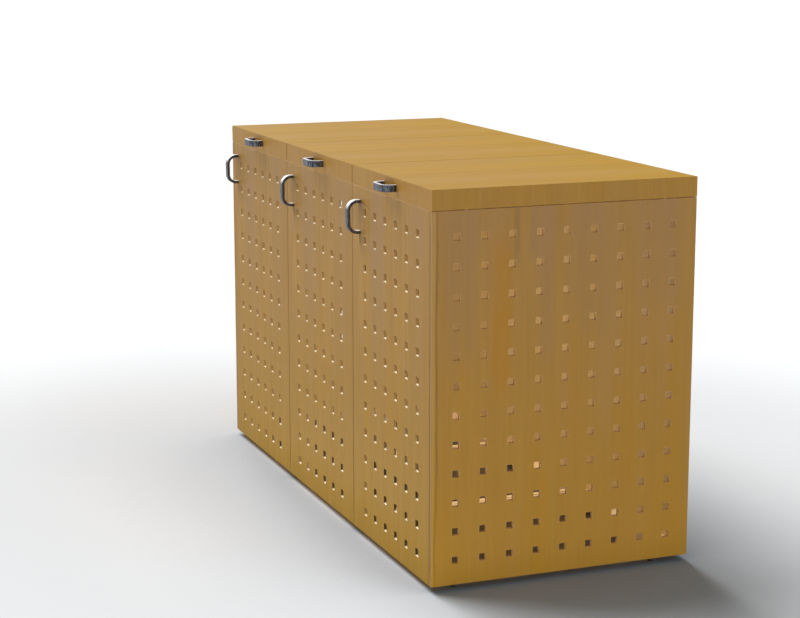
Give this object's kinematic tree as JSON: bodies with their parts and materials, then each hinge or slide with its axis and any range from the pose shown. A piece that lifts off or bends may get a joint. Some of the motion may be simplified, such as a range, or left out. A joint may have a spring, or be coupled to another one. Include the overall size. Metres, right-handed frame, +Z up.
{
  "type": "recycling bin station",
  "caption": "Street enclosure for wheeled recycling bins: timber-faced perforated doors and sides, hinged lids with bow handles, open bays and levelling feet.",
  "frame": {"origin": "on the floor, at the middle of the footprint (bottom centre of the bounding box)", "axes": "+X along the front from left to right as seen by someone facing the doors, +Y from the doors to the back, +Z up"},
  "size_m": [2.034, 0.9314, 1.23],
  "materials": {
    "panel_side": "timber-faced outdoor board, vertical grain, satin",
    "panel_door": "timber-faced outdoor board, vertical grain, satin, pale cut edges",
    "panel_back": "timber-faced outdoor board, paler inner face, satin",
    "panel_lid": "timber-faced outdoor board, grain front to back, satin",
    "panel_rim": "timber-faced outdoor board, vertical grain, satin",
    "batten": "planed pale softwood, oiled",
    "polished_steel": "polished stainless flat bar",
    "zinc_steel": "zinc-plated steel",
    "hinge_bronze": "dark bronze coated steel",
    "hinge_steel": "brushed stainless",
    "foot_plastic": "black moulded nylon",
    "catch_plastic": "brown moulded plastic",
    "clear_rubber": "translucent soft polyurethane"
  },
  "bodies": {
    "cabinet": {"side_panel_left": "panel_side", "side_panel_right": "panel_side", "back_panel": "panel_back", "base_rail_rear": "batten", "base_rail_left": "batten", "base_rail_right": "batten", "base_rail_divider_left": "batten", "base_rail_divider_right": "batten", "post_front_left": "batten", "post_divider_left": "batten", "post_divider_right": "batten", "top_rail_front": "batten", "top_rail_rear": "batten", "top_rail_left": "batten", "top_rail_right": "batten", "top_rail_divider_left": "batten", "top_rail_divider_right": "batten", "foot_pads": "foot_plastic", "foot_studs": "zinc_steel", "lid_bumpers": "clear_rubber", "door_catches": "catch_plastic", "door_hinge_fixed_left": "hinge_bronze", "door_hinge_fixed_middle": "hinge_bronze", "door_hinge_fixed_right": "hinge_bronze", "door_hinge_pins": "hinge_bronze", "lid_hinge_fixed_left": "hinge_steel", "lid_hinge_fixed_middle": "hinge_steel", "lid_hinge_fixed_right": "hinge_steel", "lid_hinge_pins": "hinge_steel"},
    "door_left": {"door_panel_left": "panel_door", "door_hinge_moving_left": "hinge_bronze", "door_handle_left": "polished_steel", "door_handle_screws_left": "zinc_steel", "door_strike_left": "zinc_steel"},
    "door_middle": {"door_panel_middle": "panel_door", "door_hinge_moving_middle": "hinge_bronze", "door_handle_middle": "polished_steel", "door_handle_screws_middle": "zinc_steel", "door_strike_middle": "zinc_steel"},
    "door_right": {"door_panel_right": "panel_door", "door_hinge_moving_right": "hinge_bronze", "door_handle_right": "polished_steel", "door_handle_screws_right": "zinc_steel", "door_strike_right": "zinc_steel"},
    "lid_left": {"lid_top_left": "panel_lid", "lid_rim_left": "panel_rim", "lid_hinge_moving_left": "hinge_steel", "lid_handle_left": "polished_steel", "lid_handle_screws_left": "zinc_steel"},
    "lid_middle": {"lid_top_middle": "panel_lid", "lid_rim_middle": "panel_rim", "lid_hinge_moving_middle": "hinge_steel", "lid_handle_middle": "polished_steel", "lid_handle_screws_middle": "zinc_steel"},
    "lid_right": {"lid_top_right": "panel_lid", "lid_rim_right": "panel_rim", "lid_hinge_moving_right": "hinge_steel", "lid_handle_right": "polished_steel", "lid_handle_screws_right": "zinc_steel"}
  },
  "joints": [
    {"name": "door_left_hinge", "type": "hinge", "parent": "cabinet", "child": "door_left", "pos_m": [-0.339, -0.4185, 0.6], "axis": [0, 0, 1], "range_deg": [0, 90]},
    {"name": "door_middle_hinge", "type": "hinge", "parent": "cabinet", "child": "door_middle", "pos_m": [0.339, -0.4185, 0.6], "axis": [0, 0, 1], "range_deg": [0, 90]},
    {"name": "door_right_hinge", "type": "hinge", "parent": "cabinet", "child": "door_right", "pos_m": [1.0025, -0.4185, 0.6], "axis": [0, 0, 1], "range_deg": [0, 90]},
    {"name": "lid_left_hinge", "type": "hinge", "parent": "cabinet", "child": "lid_left", "pos_m": [-0.678, 0.4627, 1.167], "axis": [-1, 0, 0], "range_deg": [0, 100]},
    {"name": "lid_middle_hinge", "type": "hinge", "parent": "cabinet", "child": "lid_middle", "pos_m": [0, 0.4627, 1.167], "axis": [-1, 0, 0], "range_deg": [0, 100]},
    {"name": "lid_right_hinge", "type": "hinge", "parent": "cabinet", "child": "lid_right", "pos_m": [0.678, 0.4627, 1.167], "axis": [-1, 0, 0], "range_deg": [0, 100]}
  ]
}
